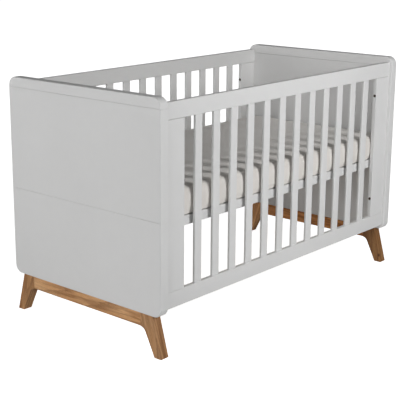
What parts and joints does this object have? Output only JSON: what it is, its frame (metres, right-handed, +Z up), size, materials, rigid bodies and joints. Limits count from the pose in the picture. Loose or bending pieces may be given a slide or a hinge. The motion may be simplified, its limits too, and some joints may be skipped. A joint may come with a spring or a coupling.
{
  "type": "baby crib",
  "caption": "Cot bed with rounded solid end panels, slatted sides, a height-adjustable mattress base, a lift-out mattress and splayed oak leg frames.",
  "frame": {"origin": "middle of the footprint, on the floor", "axes": "+X along the cot, +Y across it from the front side to the back side, +Z up"},
  "size_m": [1.48, 0.76, 0.906],
  "materials": {
    "white_paint": "satin",
    "oak": "satin",
    "plywood": "matte",
    "knit_fabric": "matte",
    "zinc_steel": "satin"
  },
  "bodies": {
    "cot_frame": {"back_bottom_rail": "white_paint", "back_left_stile": "white_paint", "back_right_stile": "white_paint", "back_slat_01": "white_paint", "back_slat_02": "white_paint", "back_slat_03": "white_paint", "back_slat_04": "white_paint", "back_slat_05": "white_paint", "back_slat_06": "white_paint", "back_slat_07": "white_paint", "back_slat_08": "white_paint", "back_slat_09": "white_paint", "back_slat_10": "white_paint", "back_slat_11": "white_paint", "back_slat_12": "white_paint", "back_top_rail": "white_paint", "front_bottom_rail": "white_paint", "front_left_stile": "white_paint", "front_right_stile": "white_paint", "front_slat_01": "white_paint", "front_slat_02": "white_paint", "front_slat_03": "white_paint", "front_slat_04": "white_paint", "front_slat_05": "white_paint", "front_slat_06": "white_paint", "front_slat_07": "white_paint", "front_slat_08": "white_paint", "front_slat_09": "white_paint", "front_slat_10": "white_paint", "front_slat_11": "white_paint", "front_slat_12": "white_paint", "front_top_rail": "white_paint", "left_back_leg": "oak", "left_end_lower_board": "white_paint", "left_end_top_board": "white_paint", "left_end_upper_board": "white_paint", "left_front_leg": "oak", "left_leg_beam": "oak", "right_back_leg": "oak", "right_end_lower_board": "white_paint", "right_end_top_board": "white_paint", "right_end_upper_board": "white_paint", "right_front_leg": "oak", "right_leg_beam": "oak", "side_bolt_back_left_lower": "zinc_steel", "side_bolt_back_left_upper": "zinc_steel", "side_bolt_back_right_lower": "zinc_steel", "side_bolt_back_right_upper": "zinc_steel", "side_bolt_front_left_lower": "zinc_steel", "side_bolt_front_left_upper": "zinc_steel", "side_bolt_front_right_lower": "zinc_steel", "side_bolt_front_right_upper": "zinc_steel"},
    "mattress_base": {"base_back_rail": "white_paint", "base_bolt_back_left": "zinc_steel", "base_bolt_back_right": "zinc_steel", "base_bolt_front_left": "zinc_steel", "base_bolt_front_right": "zinc_steel", "base_deck": "plywood", "base_front_rail": "white_paint"},
    "mattress_pad": {"mattress": "knit_fabric"}
  },
  "joints": [
    {"name": "base_height", "type": "slide", "parent": "cot_frame", "child": "mattress_base", "axis": [0, 0, 1], "range_m": [-0.23, 0]},
    {"name": "mattress_lift", "type": "slide", "parent": "mattress_base", "child": "mattress_pad", "axis": [0, 0, 1], "range_m": [0, 0.45]}
  ]
}
